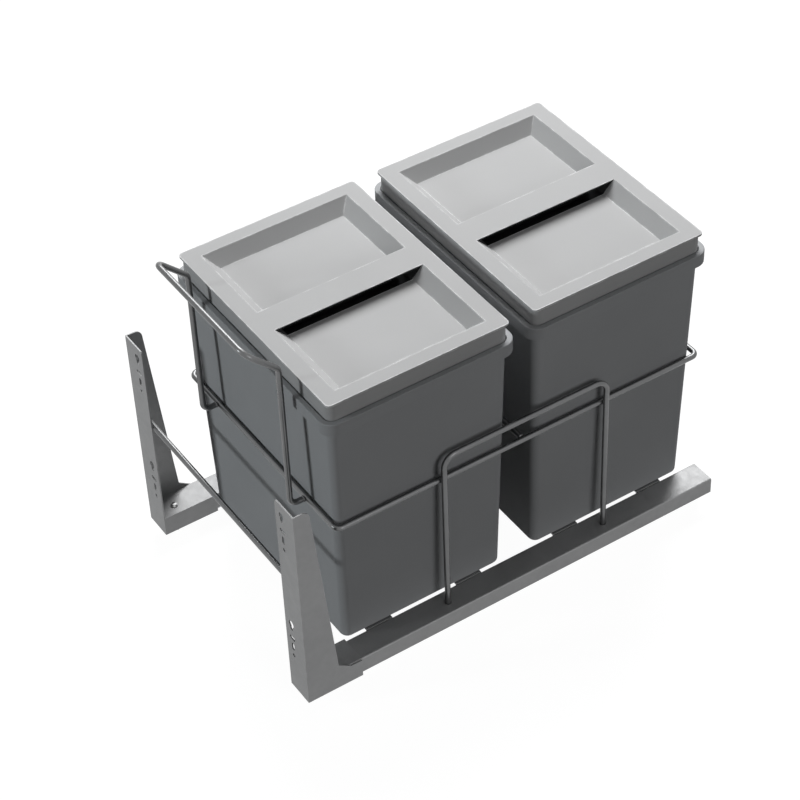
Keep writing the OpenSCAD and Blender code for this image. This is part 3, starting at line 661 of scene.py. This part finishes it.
shade_box_half = 15.8
shade_box_inner = shade_box_half - 0.4
shade_box_rings = [(shade_box_half, 67.2, 2.0, 324.4), (shade_box_half, 71.1, 2.0, 347.9),
               (shade_box_inner, 70.7, 1.6, 347.9), (shade_box_inner, 66.9, 1.6, 325.0)]
end_shade_outline = [(71.0, 347.7), (82.0, 358.7), (81.6, 359.0), (70.6, 348.0)]
bar_side_shade_outline = [(-82.1, 359.2), (82.1, 359.2), (83.2, 360.4), (-83.2, 360.4)]
bar_half = 16.0
bar_side_shade_thick = 0.08

def add_slab(shape, outline, low_x, high_x):
    left, right = [[shape.verts.new(mm(x, y, z)) for y, z in outline] for x in (low_x, high_x)]
    for i in range(4):
        j = (i + 1) % 4
        shape.faces.new((left[i], left[j], right[j], right[i]))
    shape.faces.new(left)
    shape.faces.new(right)

# Adds painted shade strips at the hollow's ends and thin sheets of painted shade on both sides of
# the bar.
def add_end_and_bar_shade(piece, centre_y):
    shape = bmesh.new()
    shape.from_mesh(piece.data)
    for way in (-1, 1):
        add_slab(shape, [(centre_y + way * y, z) for y, z in end_shade_outline], -shade_box_half, shade_box_half)
        add_slab(shape, [(centre_y + y, z) for y, z in bar_side_shade_outline],
                 way * bar_half, way * (bar_half + bar_side_shade_thick))
    bmesh.ops.recalc_face_normals(shape, faces=shape.faces)
    shape.to_mesh(piece.data)
    shape.free()
    piece.data.set_sharp_from_angle(angle=crease)

def paint_hollow_shade(name, lid, centre_y):
    piece = skin_rings(name, [round_ring(*ring, centre_y) for ring in shade_box_rings], painted_shade_finish)
    add_end_and_bar_shade(piece, centre_y)
    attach(piece, lid)

# Each lid gets a box of painted shade in its finger hollow.
for place, centre_y in bin_middles.items():
    paint_hollow_shade(place + "_painted_hollow_shade", place + "_lid", centre_y)

# %% [markdown]
# ## Weld beads
#
# The wire parts are joined by small welds that the paint has run over. A bead round the end
# of a wire is a ring, lumpy because the weld cools drop by drop. It is built point by point
# as a ring whose thickness swells with each drop, which a plain torus would not show. Each
# bead is listed as its centre, the axis that its wire runs along and its number of drops.

# %% Weld the wires together
bead_radius, bead_thick = 2.7, 0.8
bead_turns, bead_section = 48, 10

def bead_points(centre, axis, drops):
    points = []
    side_one, side_two = [(Vector((0, 1, 0)), Vector((0, 0, 1))),
                          (Vector((0, 0, 1)), Vector((1, 0, 0))),
                          (Vector((1, 0, 0)), Vector((0, 1, 0)))][axis]
    along = side_one.cross(side_two)
    for i in range(bead_turns):
        angle = 2 * math.pi * i / bead_turns
        swell = 1 + 0.16 * math.sin(drops * angle) + 0.07 * math.sin(3 * angle + 1.3)
        outwards = side_one * math.cos(angle) + side_two * math.sin(angle)
        for j in range(bead_section):
            turn_angle = 2 * math.pi * j / bead_section
            spot = (Vector(centre)
                    + outwards * (bead_radius + bead_thick * swell * math.cos(turn_angle))
                    + along * bead_thick * 1.25 * swell * math.sin(turn_angle))
            points.append(mm(*spot))
    return points

def weld_piece(name, mesh):
    piece = smooth_piece(name, mesh, wire_finish)
    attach(piece, "carriage")

def weld_beads(name, beads):
    points, faces = [], []
    for centre, axis, drops in beads:
        first = len(points)
        points += bead_points(centre, axis, drops)
        for i in range(bead_turns):
            low, high = [first + k % bead_turns * bead_section for k in (i, i + 1)]
            for j in range(bead_section):
                over = (j + 1) % bead_section
                faces.append((low + j, high + j, high + over, low + over))
    mesh = bpy.data.meshes.new(name)
    mesh.from_pydata(points, [], faces)
    weld_piece(name, mesh)
    print(name, len(beads), "beads")

ring_height = 204.6
handle_leg = (83.4, -199.6)
divider_end = (134.8, 22)
beads = []
for side in (-1, 1):
    beads.append(((side * handle_leg[0], handle_leg[1], ring_height), 1, 7))
    beads.append(((side * divider_end[0], divider_end[1], ring_height), 0, 6))
weld_beads("wire_welds", beads)

# %% [markdown]
# Where two wires cross without a cut end, the weld is a short flat drop in the corner
# between them. Rods that lie against a flange get the same drop. It is a small rounded
# lump, longer than wide, made as one ring of points per slice. Each drop is listed as its
# centre, its half sizes and the axis that it is long in.

# %% Drops between crossing wires
slices, around = 9, 12

def weld_drops(name, places):
    points, faces = [], []
    for (x, y, z), (half_x, half_y, half_z), long_axis in places:
        first = len(points)
        for i in range(slices):
            share = -1 + 2 * (i + 0.5) / slices
            narrow = math.sqrt(1 - share * share) * (1 + 0.08 * math.sin(9 * share))
            for j in range(around):
                angle = 2 * math.pi * j / around
                one, two = narrow * math.cos(angle), narrow * math.sin(angle)
                ways = ((share, one, two), (one, share, two), (one, two, share))[long_axis]
                points.append(mm(x + half_x * ways[0], y + half_y * ways[1], z + half_z * ways[2]))
        for i in range(slices - 1):
            for j in range(around):
                over = (j + 1) % around
                low, high = first + i * around, first + (i + 1) * around
                faces.append((low + j, low + over, high + over, high + j))
        faces.append(tuple(first + j for j in range(around)))
        faces.append(tuple(first + (slices - 1) * around + j for j in range(around)))
    mesh = bpy.data.meshes.new(name)
    mesh.from_pydata(points, [], faces)
    shape = bmesh.new()
    shape.from_mesh(mesh)
    bmesh.ops.recalc_face_normals(shape, faces=shape.faces)
    shape.to_mesh(mesh)
    shape.free()
    weld_piece(name, mesh)
    print(name, len(places), "drops")

loop_x, loop_legs = 141.35, (-76, 120)
loop_drop, loop_rise = (1.5, 2.4, 1.6), 1.3
rod_y, rod_height, rod_spots = -251.4, 167, (132.5, 149.5)
rod_drop, rod_rise = (3.4, 1.2, 1.0), 2.1
drops = []
for side in (-1, 1):
    for leg_y in loop_legs:
        for above in (-1, 1):
            drops.append(((side * loop_x, leg_y, ring_height + above * loop_rise), loop_drop, 1))
    for above in (-1, 1):
        for spot_x in rod_spots:
            drops.append(((side * spot_x, rod_y, rod_height + above * rod_rise), rod_drop, 0))
weld_drops("crossing_welds", drops)
